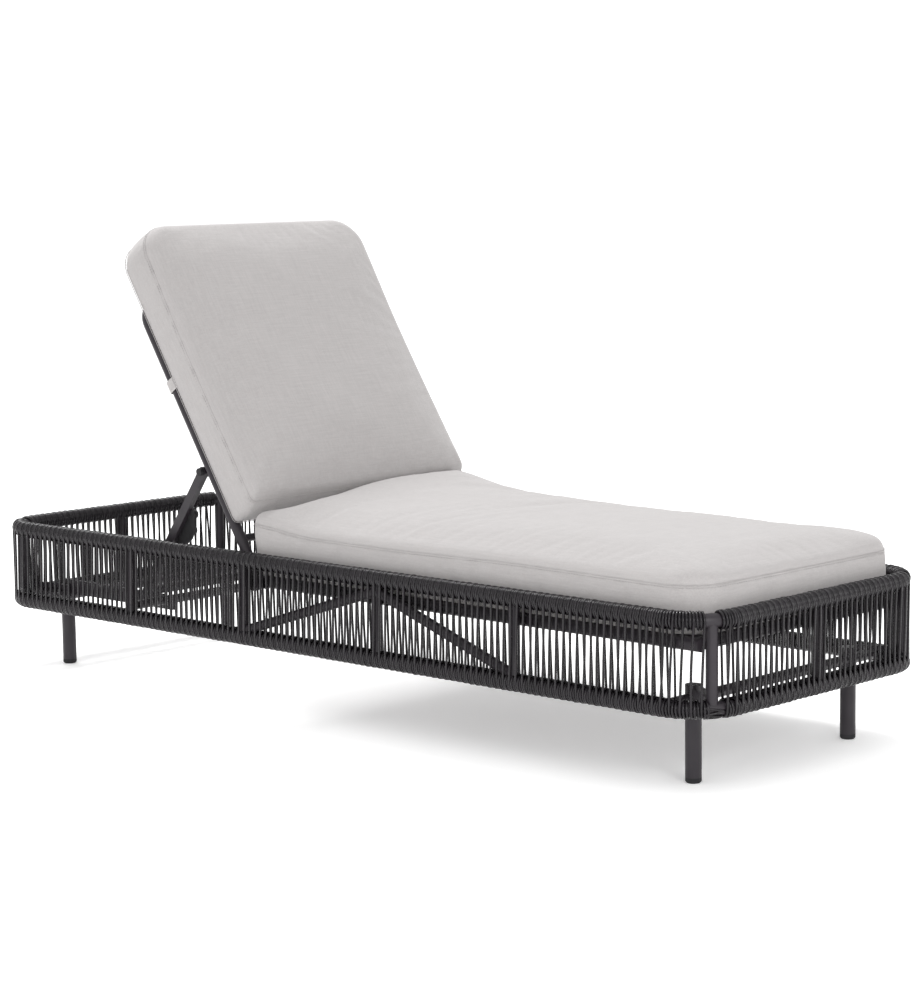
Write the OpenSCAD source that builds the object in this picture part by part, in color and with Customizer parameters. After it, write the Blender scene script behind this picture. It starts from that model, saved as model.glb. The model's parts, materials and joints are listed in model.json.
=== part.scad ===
// Reclining sun lounger: a cord-wrapped steel ring on four legs, a seat deck, a backrest that
// folds flat on a propping strut, and a two-part cushion.
// The near long side is at -X, the foot end at -Y, the head end at +Y, and the floor at z = 0.

/* [Ring] */
// Overall length of the ring
ring_length = 2000; // [1900:10:2100]
// Overall width of the ring
ring_width = 700; // [680:2:720]
// Outer radius of the ring's corners
ring_corner = 107; // [95:1:120]
// Height of the top of the upper wrapped rail
ring_top = 326.5; // [315:0.5:340]
// Height of the underside of the lower wrapped rail
ring_bottom = 135.5; // [125:0.5:145]
// Outside diameter of the ring's steel tube
rail_d = 25; // [22:1:28]
// Thickness of the cord wrapped round the rails
wrap_t = 5; // [4:0.5:6]
// Wall thickness of the steel tubes
tube_wall = 1.5; // [1:0.1:2]
// Place of the inner pair of side posts along the length
post_y_inner = 190; // [180:1:192]
// Place of the outer pair of side posts along the length
post_y_outer = 545; // [535:1:555]
// Diameter of the posts between the two rails
post_d = 22; // [20:1:22]
// Angle of the corner posts round the corner, from the X direction
corner_post_angle = 58; // [50:1:62]
// Diameter of the slanted braces
brace_d = 20; // [16:1:20]
// Height at which the two braces of one side meet their post
brace_apex_z = 285; // [275:1:288]

/* [Cord weave] */
// Spacing of the upright cord strands
strand_pitch = 16; // [14:1:20]
// Diameter of one cord strand
strand_d = 4.4; // [3.6:0.2:4.6]

/* [Legs] */
// Distance of each leg from the middle, across the width
leg_x = 236; // [226:1:240]
// Distance of each leg from the middle, along the length
leg_y = 885; // [880:1:888]
// Diameter of the legs
leg_d = 30; // [26:1:32]
// Height of the top of the legs
leg_top_z = 178; // [175:1:182]

/* [Seat deck] */
// Distance of the deck's side rails from the middle
deck_x = 300; // [298:1:300]
// Height of the middle of the deck's tubes
deck_z = 265; // [264:0.5:266]
// Place of the deck's rear tube along the length
deck_rear_y = 150; // [145:1:152]
// Place of the deck's foot tube along the length
deck_foot_y = -942; // [-945:1:-938]
// Number of cross tubes that carry the seat cushion
deck_slats = 6; // [3:1:8]

/* [Backrest] */
// Angle of the raised backrest above the horizontal
back_angle = 57.45; // [55:0.05:58]
// Place of the backrest hinge along the length
hinge_y = 195; // [194:0.5:198]
// Height of the backrest hinge
hinge_z = 258; // [256:0.5:259]
// Distance of the backrest rails from the middle
back_rail_x = 285; // [284:0.5:286]
// Distance from the hinge to the backrest's top tube
back_length = 655; // [640:1:658]
// Radius of the backrest's top bends
back_bend = 50; // [40:1:60]
// Diameter of the backrest tubes
back_tube_d = 22; // [20:1:22]
// Diameter of the hinge pins
hinge_pin_d = 12; // [10:1:12]

/* [Strut] */
// Distance of the strut pivot from the hinge, along the backrest
pivot_along = 269; // [268:1:272]
// Distance of the strut pivot behind the backrest rails' middle
pivot_behind = 23; // [22:0.5:24]
// Length of the strut from its pivot to its foot
strut_length = 328.8; // [328:0.1:330]
// Angle of the strut below the horizontal with the backrest raised
strut_angle = 54.72; // [54.4:0.01:54.8]
// Width of the strut arms, seen from the side
strut_w = 20; // [18:1:20]

/* [Cushions] */
// Half width of the two cushions
cushion_half = 312; // [305:1:313]
// Height of the underside of the seat cushion
seat_bottom = 280; // [279:0.5:282]
// Height of the top of the seat cushion
seat_top = 390; // [380:1:394]
// Radius of the cushions' rounded corners
cushion_corner = 72; // [50:1:80]
// Distance from the hinge to the lower end of the back cushion
back_pad_start = 125; // [125:1:135]
// Distance from the hinge to the upper end of the back cushion
back_pad_end = 782; // [775:1:785]
// Height of the back cushion's rear face in front of the rails' middle
back_pad_rear = 12; // [11.5:0.5:14]
// Height of the back cushion's front face in front of the rails' middle
back_pad_front = 104; // [90:1:106]

/* [Hidden] */
$fn = 48;

frame_color = [0.17, 0.16, 0.18];
cord_color = [0.11, 0.11, 0.12];
cushion_color = [0.76, 0.75, 0.74];
cap_color = [0.08, 0.08, 0.09];
past = 1;

// The ring's rails, on their middle lines
rail_r = rail_d / 2;
wrap_r = rail_r + wrap_t;
rail_x = ring_width / 2 - wrap_r;
rail_y = ring_length / 2 - wrap_r;
top_z = ring_top - wrap_r;
bottom_z = ring_bottom + wrap_r;
bend_r = ring_corner - wrap_r;
bend_x = rail_x - bend_r;
bend_y = rail_y - bend_r;
post_r = post_d / 2;
side_post_ys = [-post_y_outer, -post_y_inner, post_y_inner, post_y_outer];
corner_post_x = bend_x + bend_r * cos(corner_post_angle);
corner_post_y = bend_y + bend_r * sin(corner_post_angle);

// The braces run from the post left of the middle to the feet of its neighbours
brace_r = brace_d / 2;
brace_foot_z = bottom_z + rail_r;
brace_foot_ys = [-post_y_outer, post_y_inner];

// The weave: a wrapped sleeve round each rail, with strands on its outer and inner face
sleeve_sides = 12;
sleeve_gap = 0.1;
sleeve_corner_r = wrap_r / cos(180 / sleeve_sides);
strand_r = strand_d / 2;
strand_offset = rail_r + wrap_t / 2 + 0.2;
strand_clear = 16;
hole_gap = 0.2;
corner_strand_step = 9;
corner_clear_angle = 9;

leg_r = leg_d / 2;
foot_cap_h = 10;
tie_r = 10;
bracket_t = 5;
bracket_h = 10;
bracket_z = 171.5;
slat_r = 8;
stub_r = 8;

back_r = back_tube_d / 2;
back_slat_ds = [100, 205, 340, 450, 560];
eye_r = 14;
pin_r = hinge_pin_d / 2;
pin_gap = 0.06;
bracket_plate_t = 5;
bracket_plate_xs = [back_rail_x - back_r - 7.5, back_rail_x + back_r + 2.5];
bracket_end_r = 16;
pin_inner_x = back_rail_x - back_r - 11;

pivot_r = 5;
arm_t = 12;
arm_x = back_rail_x - arm_t / 2;
hanger_t = 8;
hanger_x = arm_x - 3 - hanger_t;
hanger_r = 12;
foot_r = 10.5;
pivot_y = hinge_y + pivot_along * cos(back_angle) + pivot_behind * sin(back_angle);
pivot_z = hinge_z + pivot_along * sin(back_angle) - pivot_behind * cos(back_angle);
cap_gap = 0.3;
cap_r = 8;
cap_t = 6;

rack_x = 235;
rack_t = 6;
rack_tube_z = 178;
rack_tube_r = 9.5;
rack_tip_z = 189.5;
rack_base_z = 158;
rack_start_y = 526;
rack_end_y = 900;
notch_r = 11.5;
notch_depth = 6;
notch_pitch = 54;
notch_count = 5;
notch_first_y = pivot_y + strut_length * cos(strut_angle);

strap_d0 = 447;
strap_w = 26;
strap_t = 1.5;
strap_gap = 0.6;

// A solid rod between two points
module rod(a, b, r) {
    v = b - a;
    translate(a)
        rotate([0, acos(v[2] / norm(v)), atan2(v[1], v[0])])
            cylinder(r = r, h = norm(v));
}

// A straight tube between two points, open at both ends
module tube(a, b, r) {
    u = past * (b - a) / norm(b - a);
    difference() {
        rod(a, b, r);
        rod(a - u, b + u, r - tube_wall);
    }
}

// The first quadrant's quarter bend of a ring rail, as a solid of radius r
module quarter_bend(r) {
    translate([bend_x, bend_y, 0])
        rotate_extrude(angle = 90)
            translate([bend_r, 0])
                circle(r = r);
}

module to_corner(sx, sy) {
    mirror([sx < 0 ? 1 : 0, 0, 0])
        mirror([0, sy < 0 ? 1 : 0, 0])
            children();
}

module all_corners() {
    for (sx = [-1, 1])
        for (sy = [-1, 1])
            to_corner(sx, sy)
                children();
}

module both_sides() {
    children();
    mirror([1, 0, 0])
        children();
}

// The backrest's own frame: +Y up along the rails from the hinge, +Z out of its front
module on_backrest() {
    translate([0, hinge_y, hinge_z])
        rotate([back_angle, 0, 0])
            children();
}

// The strut's own frame: +Y from the pivot to the foot, -Z towards the hinge
module on_strut() {
    translate([0, pivot_y, pivot_z])
        rotate([-strut_angle, 0, 0])
            children();
}

module side_rail(side, z) {
    color(frame_color)
        tube([side * rail_x, -bend_y, z], [side * rail_x, bend_y, z], rail_r);
}

module end_rail(side, z) {
    color(frame_color)
        tube([-bend_x, side * rail_y, z], [bend_x, side * rail_y, z], rail_r);
}

module rail_bends(z) {
    color(frame_color)
        translate([0, 0, z])
            all_corners()
                difference() {
                    quarter_bend(rail_r);
                    translate([bend_x, bend_y, 0])
                        rotate([0, 0, -past])
                            rotate_extrude(angle = 90 + 2 * past)
                                translate([bend_r, 0])
                                    circle(r = rail_r - tube_wall);
                }
}

// One upright between the rails, coped to both tubes
module post_blank(x, y, r) {
    rod([x, y, bottom_z], [x, y, top_z], r);
}

module side_rail_blanks(side) {
    for (z = [bottom_z, top_z])
        rod([side * rail_x, -bend_y, z], [side * rail_x, bend_y, z], rail_r);
}

module side_posts(side) {
    color(frame_color)
        difference() {
            for (y = side_post_ys)
                post_blank(side * rail_x, y, post_r);
            for (y = side_post_ys)
                post_blank(side * rail_x, y, post_r - tube_wall);
            side_rail_blanks(side);
        }
}

module end_posts() {
    color(frame_color)
        difference() {
            for (side = [-1, 1])
                post_blank(0, side * rail_y, post_r);
            for (side = [-1, 1])
                post_blank(0, side * rail_y, post_r - tube_wall);
            for (side = [-1, 1])
                for (z = [bottom_z, top_z])
                    rod([-bend_x, side * rail_y, z], [bend_x, side * rail_y, z], rail_r);
        }
}

module corner_posts() {
    color(frame_color)
        all_corners()
            difference() {
                post_blank(corner_post_x, corner_post_y, post_r);
                post_blank(corner_post_x, corner_post_y, post_r - tube_wall);
                for (z = [bottom_z, top_z])
                    translate([0, 0, z])
                        quarter_bend(rail_r);
            }
}

module brace_blanks(side, r) {
    for (y = brace_foot_ys)
        rod([side * rail_x, y, brace_foot_z], [side * rail_x, -post_y_inner, brace_apex_z], r);
}

module braces(side) {
    color(frame_color)
        difference() {
            brace_blanks(side, brace_r);
            brace_blanks(side, brace_r - tube_wall);
            for (y = side_post_ys)
                post_blank(side * rail_x, y, post_r);
            side_rail_blanks(side);
        }
}

module leg(sx, sy) {
    color(frame_color)
        difference() {
            rod([sx * leg_x, sy * leg_y, foot_cap_h], [sx * leg_x, sy * leg_y, leg_top_z], leg_r);
            rod([sx * leg_x, sy * leg_y, 0], [sx * leg_x, sy * leg_y, leg_top_z - tube_wall],
                leg_r - tube_wall);
        }
}

module foot_caps() {
    edge = 3;
    color(cap_color)
        all_corners()
            translate([leg_x, leg_y, 0]) {
                rotate_extrude()
                    polygon([[0, 0], [leg_r - edge, 0], [leg_r, edge], [leg_r, foot_cap_h],
                        [0, foot_cap_h]]);
                translate([0, 0, foot_cap_h])
                    cylinder(r = leg_r - tube_wall - 0.2, h = 14);
            }
}

// A cross tie through the legs' line, in three lengths that stop at the legs and the wraps
module leg_tie(sy) {
    y = sy * leg_y;
    color(frame_color)
        difference() {
            tube([-rail_x + wrap_r, y, bottom_z], [rail_x - wrap_r, y, bottom_z], tie_r);
            for (sx = [-1, 1])
                rod([sx * leg_x, y, 0], [sx * leg_x, y, leg_top_z], leg_r);
        }
}

// Flat bars over the lower wrap, from the tops of the legs to the corner posts
module corner_brackets() {
    run = [corner_post_x - leg_x, corner_post_y - leg_y];
    color(frame_color)
        all_corners()
            difference() {
                translate([leg_x, leg_y, bracket_z])
                    rotate([0, 0, atan2(run[1], run[0])])
                        translate([0, -bracket_t / 2, 0])
                            cube([norm(run), bracket_t, bracket_h]);
                rod([leg_x, leg_y, 0], [leg_x, leg_y, ring_top], leg_r);
                post_blank(corner_post_x, corner_post_y, post_r);
            }
}

module deck_rear_blank() {
    rod([-deck_x - rail_r, deck_rear_y, deck_z], [deck_x + rail_r, deck_rear_y, deck_z], rail_r);
}

module deck_side_blank(side) {
    rod([side * deck_x, deck_foot_y - rail_r, deck_z], [side * deck_x, deck_rear_y, deck_z],
        rail_r);
}

module deck_rail(side) {
    color(frame_color)
        difference() {
            deck_side_blank(side);
            rod([side * deck_x, deck_foot_y - rail_r + 2 * tube_wall, deck_z],
                [side * deck_x, deck_rear_y, deck_z], rail_r - tube_wall);
            deck_rear_blank();
        }
}

module deck_rear_tube() {
    color(frame_color)
        tube([-deck_x - rail_r, deck_rear_y, deck_z], [deck_x + rail_r, deck_rear_y, deck_z],
            rail_r);
}

// A tube across the deck between its side rails
module deck_cross(y, z, r) {
    difference() {
        tube([-deck_x, y, z], [deck_x, y, z], r);
        deck_side_blank(-1);
        deck_side_blank(1);
    }
}

module deck_foot_tube() {
    color(frame_color)
        deck_cross(deck_foot_y, deck_z, rail_r - 0.5);
}

module deck_end_beam() {
    color(frame_color)
        deck_cross(-leg_y, deck_z, rail_r - 0.5);
}

module deck_slat_tubes() {
    first = -leg_y;
    gap = (deck_rear_y - first) / (deck_slats + 1);
    color(frame_color)
        for (i = [1 : deck_slats])
            deck_cross(first + i * gap, deck_z + rail_r - slat_r - 0.5, slat_r);
}

// Short studs that tie the deck to the posts of the ring
module deck_stubs() {
    color(frame_color)
        difference() {
            union() {
                for (side = [-1, 1])
                    for (y = [-post_y_outer, -post_y_inner])
                        rod([side * deck_x, y, deck_z], [side * rail_x, y, deck_z], stub_r);
                rod([0, deck_foot_y, deck_z], [0, -rail_y, deck_z], stub_r);
            }
            deck_side_blank(-1);
            deck_side_blank(1);
            rod([-deck_x, deck_foot_y, deck_z], [deck_x, deck_foot_y, deck_z], rail_r - 0.5);
            for (side = [-1, 1])
                for (y = side_post_ys)
                    post_blank(side * rail_x, y, post_r);
            post_blank(0, -rail_y, post_r);
        }
}

// Plates from the deck's rear tube to the hinge pins, on both sides of each backrest rail
module hinge_brackets() {
    color(frame_color)
        both_sides()
            difference() {
                for (x = bracket_plate_xs)
                    translate([x, 0, 0])
                        rotate([90, 0, 90])
                            linear_extrude(height = bracket_plate_t)
                                hull() {
                                    translate([hinge_y, hinge_z])
                                        circle(r = bracket_end_r);
                                    translate([deck_rear_y, deck_z])
                                        circle(r = rail_r - past);
                                }
                deck_rear_blank();
                rod([pin_inner_x - past, hinge_y, hinge_z], [rail_x, hinge_y, hinge_z], pin_r);
            }
}

module hinge_pins() {
    color(frame_color)
        both_sides()
            difference() {
                rod([pin_inner_x, hinge_y, hinge_z], [rail_x, hinge_y, hinge_z], pin_r);
                post_blank(rail_x, post_y_inner, post_r);
            }
}

// A toothed bar that the strut's foot rests on
module rack(side) {
    color(frame_color)
        difference() {
            translate([side * rack_x - rack_t / 2, rack_start_y, rack_base_z])
                cube([rack_t, rack_end_y - rack_start_y, rack_tip_z - rack_base_z]);
            for (i = [0 : notch_count - 1])
                translate([side * rack_x - rack_t, notch_first_y + i * notch_pitch,
                    rack_tip_z + notch_r - notch_depth])
                    rotate([0, 90, 0])
                        cylinder(r = notch_r, h = 2 * rack_t);
            rack_tube_blank();
            rod([-leg_x, leg_y, bottom_z], [leg_x, leg_y, bottom_z], tie_r);
            rod([side * leg_x, leg_y, 0], [side * leg_x, leg_y, leg_top_z], leg_r);
        }
}

module rack_tube_blank() {
    rod([-rail_x, post_y_outer, rack_tube_z], [rail_x, post_y_outer, rack_tube_z], rack_tube_r);
}

module rack_tube() {
    color(frame_color)
        difference() {
            rack_tube_blank();
            rod([-rail_x, post_y_outer, rack_tube_z], [rail_x, post_y_outer, rack_tube_z],
                rack_tube_r - tube_wall);
            for (side = [-1, 1])
                post_blank(side * rail_x, post_y_outer, post_r);
        }
}

// A straight length of weave on the line x = 0, from -half to half along Y.
// Outer strands are on +X. No inner strand stands within strand_clear of a post.
module weave_straight(half, post_ys) {
    count = floor((2 * half - strand_pitch) / strand_pitch);
    first = -count * strand_pitch / 2;
    difference() {
        union() {
            for (z = [bottom_z, top_z])
                translate([0, -half, z])
                    rotate([-90, 0, 0])
                        rotate([0, 0, 180 / sleeve_sides])
                            cylinder(r = sleeve_corner_r, h = 2 * half, $fn = sleeve_sides);
            for (i = [0 : count])
                translate([strand_offset, first + i * strand_pitch, bottom_z])
                    cylinder(r = strand_r, h = top_z - bottom_z);
            for (i = [0 : count])
                if (min([for (p = post_ys) abs(first + i * strand_pitch - p)]) > strand_clear)
                    translate([-strand_offset, first + i * strand_pitch, bottom_z])
                        cylinder(r = strand_r, h = top_z - bottom_z);
        }
        for (z = [bottom_z, top_z])
            translate([0, -half - past, z])
                rotate([-90, 0, 0])
                    cylinder(r = rail_r + sleeve_gap, h = 2 * (half + past));
        for (y = post_ys)
            translate([0, y, bottom_z])
                cylinder(r = post_r + hole_gap, h = top_z - bottom_z);
    }
}

module weave_side(side) {
    color(cord_color)
        difference() {
            translate([side * rail_x, 0, 0])
                mirror([side < 0 ? 1 : 0, 0, 0])
                    weave_straight(bend_y, side_post_ys);
            brace_blanks(side, brace_r + hole_gap);
        }
}

module weave_end(side) {
    color(cord_color)
        translate([0, side * rail_y, 0])
            rotate([0, 0, side * 90])
                weave_straight(bend_x, [0]);
}

// The outer and inner strand at angle a of a corner
module corner_strands(a) {
    translate([bend_r + strand_offset, 0, bottom_z])
        cylinder(r = strand_r, h = top_z - bottom_z);
    if (a > corner_post_angle)
        translate([bend_r - strand_offset, 0, bottom_z])
            cylinder(r = strand_r, h = top_z - bottom_z);
}

// The weave round one corner, with no strand in front of or behind the corner post, and no
// inner strand on the long side's half, where the end of the deck rail stands
module weave_corner(sx, sy) {
    color(cord_color)
        to_corner(sx, sy)
            difference() {
                translate([bend_x, bend_y, 0]) {
                    for (z = [bottom_z, top_z])
                        translate([0, 0, z])
                            rotate_extrude(angle = 90)
                                translate([bend_r, 0])
                                    rotate([0, 0, 180 / sleeve_sides])
                                        circle(r = sleeve_corner_r, $fn = sleeve_sides);
                    for (a = [corner_strand_step / 2 : corner_strand_step : 90])
                        if (abs(a - corner_post_angle) > corner_clear_angle)
                            rotate([0, 0, a])
                                corner_strands(a);
                }
                for (z = [bottom_z, top_z])
                    translate([bend_x, bend_y, z])
                        rotate([0, 0, -past])
                            rotate_extrude(angle = 90 + 2 * past)
                                translate([bend_r, 0])
                                    circle(r = rail_r + sleeve_gap);
                post_blank(corner_post_x, corner_post_y, post_r + hole_gap);
            }
}

module back_rail_blank() {
    rod([back_rail_x, 0, 0], [back_rail_x, back_length - back_bend, 0], back_r);
}

// A backrest rail with its hinge eye and its top bend, on the far side
module back_rail() {
    bend_start = back_length - back_bend;
    difference() {
        union() {
            back_rail_blank();
            translate([back_rail_x - back_bend, bend_start, 0])
                rotate_extrude(angle = 90)
                    translate([back_bend, 0])
                        circle(r = back_r);
            translate([back_rail_x - back_r, 0, 0])
                rotate([0, 90, 0])
                    cylinder(r = eye_r, h = back_tube_d);
        }
        rod([back_rail_x, eye_r + 2, 0], [back_rail_x, bend_start, 0], back_r - tube_wall);
        translate([back_rail_x - back_bend, bend_start, 0])
            rotate_extrude(angle = 90)
                translate([back_bend, 0])
                    circle(r = back_r - tube_wall);
        rod([pin_inner_x, 0, 0], [rail_x, 0, 0], pin_r + pin_gap);
    }
}

module backrest_rail_far() {
    color(frame_color)
        on_backrest()
            back_rail();
}

module backrest_rail_near() {
    color(frame_color)
        on_backrest()
            rotate([0, 180, 0])
                back_rail();
}

module backrest_top_tube() {
    half = back_rail_x - back_bend;
    color(frame_color)
        on_backrest()
            tube([-half, back_length, 0], [half, back_length, 0], back_r);
}

module backrest_slats() {
    color(frame_color)
        on_backrest()
            difference() {
                for (d = back_slat_ds)
                    tube([-back_rail_x, d, 0], [back_rail_x, d, 0], slat_r);
                both_sides()
                    back_rail_blank();
            }
}

module pivot_rod_blank() {
    half = arm_x + arm_t + cap_gap + cap_t;
    rod([-half, pivot_along, -pivot_behind], [half, pivot_along, -pivot_behind], pivot_r);
}

// Plates that hold the strut's pivot rod behind the backrest rails
module strut_hangers() {
    color(frame_color)
        on_backrest()
            both_sides()
                difference() {
                    translate([hanger_x, 0, 0])
                        rotate([90, 0, 90])
                            linear_extrude(height = hanger_t)
                                hull() {
                                    translate([pivot_along, -pivot_behind])
                                        circle(r = hanger_r);
                                    translate([pivot_along, 0])
                                        circle(r = back_r - 1);
                                }
                    back_rail_blank();
                    pivot_rod_blank();
                }
}

module strut_pivot_rod() {
    color(frame_color)
        on_backrest()
            pivot_rod_blank();
}

module strut_pivot_caps() {
    color(cap_color)
        on_backrest()
            both_sides()
                difference() {
                    translate([arm_x + arm_t + cap_gap, pivot_along, -pivot_behind])
                        rotate([0, 90, 0])
                            cylinder(r = cap_r, h = cap_t + 2);
                    pivot_rod_blank();
                }
}

// A flat bar with round ends, bored for the pivot rod
module strut_arm(side) {
    x = side > 0 ? arm_x : -arm_x - arm_t;
    color(frame_color)
        on_strut()
            difference() {
                translate([x, 0, 0])
                    rotate([90, 0, 90])
                        linear_extrude(height = arm_t)
                            hull() {
                                circle(r = strut_w / 2);
                                translate([strut_length, 0])
                                    circle(r = strut_w / 2);
                            }
                translate([x - past, 0, 0])
                    rotate([0, 90, 0])
                        cylinder(r = pivot_r + pin_gap, h = arm_t + 2 * past);
            }
}

module strut_foot_tube() {
    color(frame_color)
        on_strut()
            tube([-arm_x, strut_length, 0], [arm_x, strut_length, 0], foot_r);
}

// Catch plates with two round studs, on the inner face of the strut arms
module strut_catches() {
    catch_t = 5;
    stud_r = 9;
    stud_t = 12;
    outline = [[92, 8], [96, -16], [122, -38], [150, -42], [186, -30], [196, 8]];
    color(frame_color)
        on_strut()
            both_sides()
                translate([arm_x - catch_t, 0, 0])
                    rotate([90, 0, 90]) {
                        linear_extrude(height = catch_t)
                            polygon(outline);
                        for (at = [[106, -14], [136, -30]])
                            translate([at[0], at[1], catch_t - stud_t])
                                cylinder(r = stud_r, h = stud_t);
                    }
}

// A rectangle with round corners of radius r at its low-Y end, its high-Y end, or both
module pad_outline(y0, y1, r0, r1) {
    hull() {
        for (sx = [-1, 1]) {
            translate([sx * (cushion_half - r0), y0 + r0])
                circle(r = r0);
            translate([sx * (cushion_half - r1), y1 - r1])
                circle(r = r1);
        }
    }
}

// The seat cushion rises at its rear end, where the back cushion rests on it
module seat_cushion() {
    foot_end_y = -958;
    rear_low_y = 186;
    rear_high_y = 203;
    rise = 14;
    soft_edge = 14;
    color(cushion_color)
        intersection() {
            translate([0, 0, seat_bottom])
                linear_extrude(height = seat_top + rise - seat_bottom)
                    pad_outline(foot_end_y, rear_high_y, cushion_corner, soft_edge);
            translate([-ring_width / 2, 0, 0])
                rotate([90, 0, 90])
                    linear_extrude(height = ring_width)
                        polygon([[foot_end_y, seat_bottom], [rear_low_y, seat_bottom],
                            [rear_high_y, seat_top + rise], [rear_high_y - 60, seat_top + rise],
                            [0, seat_top], [foot_end_y + soft_edge, seat_top],
                            [foot_end_y, seat_top - soft_edge]]);
        }
}

// The back cushion's lower end slants away from the seat cushion towards its front
module back_cushion() {
    soft_edge = 14;
    slant_from = 62;
    slant_run = 16;
    color(cushion_color)
        on_backrest()
            intersection() {
                translate([0, 0, back_pad_rear])
                    linear_extrude(height = back_pad_front - back_pad_rear)
                        pad_outline(back_pad_start, back_pad_end, soft_edge, cushion_corner);
                translate([-ring_width / 2, 0, 0])
                    rotate([90, 0, 90])
                        linear_extrude(height = ring_width)
                            polygon([[back_pad_start, back_pad_rear], [back_pad_start, slant_from],
                                [back_pad_start + slant_run, back_pad_front],
                                [back_pad_end, back_pad_front], [back_pad_end, back_pad_rear]]);
            }
}

// The band that holds the back cushion to the rails
module back_strap() {
    inner_x = back_rail_x + back_r + strap_gap;
    low = -back_r - strap_gap - strap_t;
    color(cushion_color)
        on_backrest()
            difference() {
                translate([-inner_x - strap_t, strap_d0, low])
                    cube([2 * (inner_x + strap_t), strap_w, back_pad_rear - low]);
                translate([-inner_x, strap_d0 - past, low + strap_t])
                    cube([2 * inner_x, strap_w + 2 * past, back_pad_rear - low]);
            }
}

side_rail(-1, top_z);  // top_rail_near
side_rail(1, top_z);  // top_rail_far
end_rail(1, top_z);  // top_rail_head
end_rail(-1, top_z);  // top_rail_foot
rail_bends(top_z);  // top_rail_bends
side_rail(-1, bottom_z);  // bottom_rail_near
side_rail(1, bottom_z);  // bottom_rail_far
end_rail(1, bottom_z);  // bottom_rail_head
end_rail(-1, bottom_z);  // bottom_rail_foot
rail_bends(bottom_z);  // bottom_rail_bends
side_posts(-1);  // side_posts_near
side_posts(1);  // side_posts_far
end_posts();
corner_posts();
braces(-1);  // braces_near
braces(1);  // braces_far
leg(-1, 1);  // leg_near_head
leg(1, 1);  // leg_far_head
leg(-1, -1);  // leg_near_foot
leg(1, -1);  // leg_far_foot
foot_caps();
leg_tie(1);  // leg_tie_head
leg_tie(-1);  // leg_tie_foot
corner_brackets();
deck_rail(-1);  // deck_rail_near
deck_rail(1);  // deck_rail_far
deck_rear_tube();
deck_foot_tube();
deck_end_beam();
deck_slat_tubes();
deck_stubs();
hinge_brackets();
hinge_pins();
rack(-1);  // rack_near
rack(1);  // rack_far
rack_tube();
weave_side(-1);  // weave_near
weave_side(1);  // weave_far
weave_end(1);  // weave_head
weave_end(-1);  // weave_foot
weave_corner(-1, 1);  // weave_near_head
weave_corner(1, 1);  // weave_far_head
weave_corner(-1, -1);  // weave_near_foot
weave_corner(1, -1);  // weave_far_foot
backrest_rail_near();
backrest_rail_far();
backrest_top_tube();
backrest_slats();
strut_hangers();
strut_pivot_rod();
strut_pivot_caps();
strut_arm(-1);  // strut_arm_near
strut_arm(1);  // strut_arm_far
strut_foot_tube();
strut_catches();
seat_cushion();
back_cushion();
back_strap();
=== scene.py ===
import json
import math
import bpy
import numpy as np
from mathutils import Matrix, Vector


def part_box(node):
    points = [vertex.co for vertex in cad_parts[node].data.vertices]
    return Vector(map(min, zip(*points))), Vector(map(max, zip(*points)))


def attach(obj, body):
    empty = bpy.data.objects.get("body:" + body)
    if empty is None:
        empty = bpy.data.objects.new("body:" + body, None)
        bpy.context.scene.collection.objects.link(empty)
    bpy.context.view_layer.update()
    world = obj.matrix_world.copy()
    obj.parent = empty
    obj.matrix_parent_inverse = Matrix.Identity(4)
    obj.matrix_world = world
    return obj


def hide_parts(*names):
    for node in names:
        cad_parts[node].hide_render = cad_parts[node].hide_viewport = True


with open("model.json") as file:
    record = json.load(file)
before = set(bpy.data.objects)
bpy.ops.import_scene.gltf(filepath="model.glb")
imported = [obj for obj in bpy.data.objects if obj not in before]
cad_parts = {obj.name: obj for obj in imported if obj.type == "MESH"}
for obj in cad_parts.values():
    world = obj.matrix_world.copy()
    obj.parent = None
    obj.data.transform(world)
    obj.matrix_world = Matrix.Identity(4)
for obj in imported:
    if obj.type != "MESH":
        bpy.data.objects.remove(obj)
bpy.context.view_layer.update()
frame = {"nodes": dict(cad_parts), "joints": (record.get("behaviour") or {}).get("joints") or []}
scene = bpy.context.scene
rng = np.random.default_rng(7)


# ---------------------------------------------------------------- places read from the frame
def box(node):
    lo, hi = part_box(node)
    return np.array(lo), np.array(hi)


joints = {j["name"]: j for j in frame["joints"]}
HINGE = np.array(joints["backrest_hinge"]["pos_m"])
BACK_ANGLE = -math.radians(joints["backrest_hinge"]["range_deg"][0])

lo, hi = box("top_rail_far")
RAIL_R = (hi[0] - lo[0]) / 2
RAIL_X = (hi[0] + lo[0]) / 2
BEND_Y = hi[1]
TOP_Z = (lo[2] + hi[2]) / 2
lo, hi = box("bottom_rail_far")
BOTTOM_Z = (lo[2] + hi[2]) / 2
lo, hi = box("top_rail_head")
BEND_X = hi[0]
BEND_R = RAIL_X - BEND_X
lo, hi = box("side_posts_far")
POST_R = (hi[0] - lo[0]) / 2
POST_ANGLE = math.acos((box("corner_posts")[1][0] - POST_R - BEND_X) / BEND_R)


def on_backrest(p):
    """World positions of points (x, along, out) in the raised backrest's own frame."""
    p = np.asarray(p, float)
    c, s = math.cos(BACK_ANGLE), math.sin(BACK_ANGLE)
    out = np.empty_like(p)
    out[..., 0] = p[..., 0]
    out[..., 1] = HINGE[1] + p[..., 1] * c - p[..., 2] * s
    out[..., 2] = HINGE[2] + p[..., 1] * s + p[..., 2] * c
    return out


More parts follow.
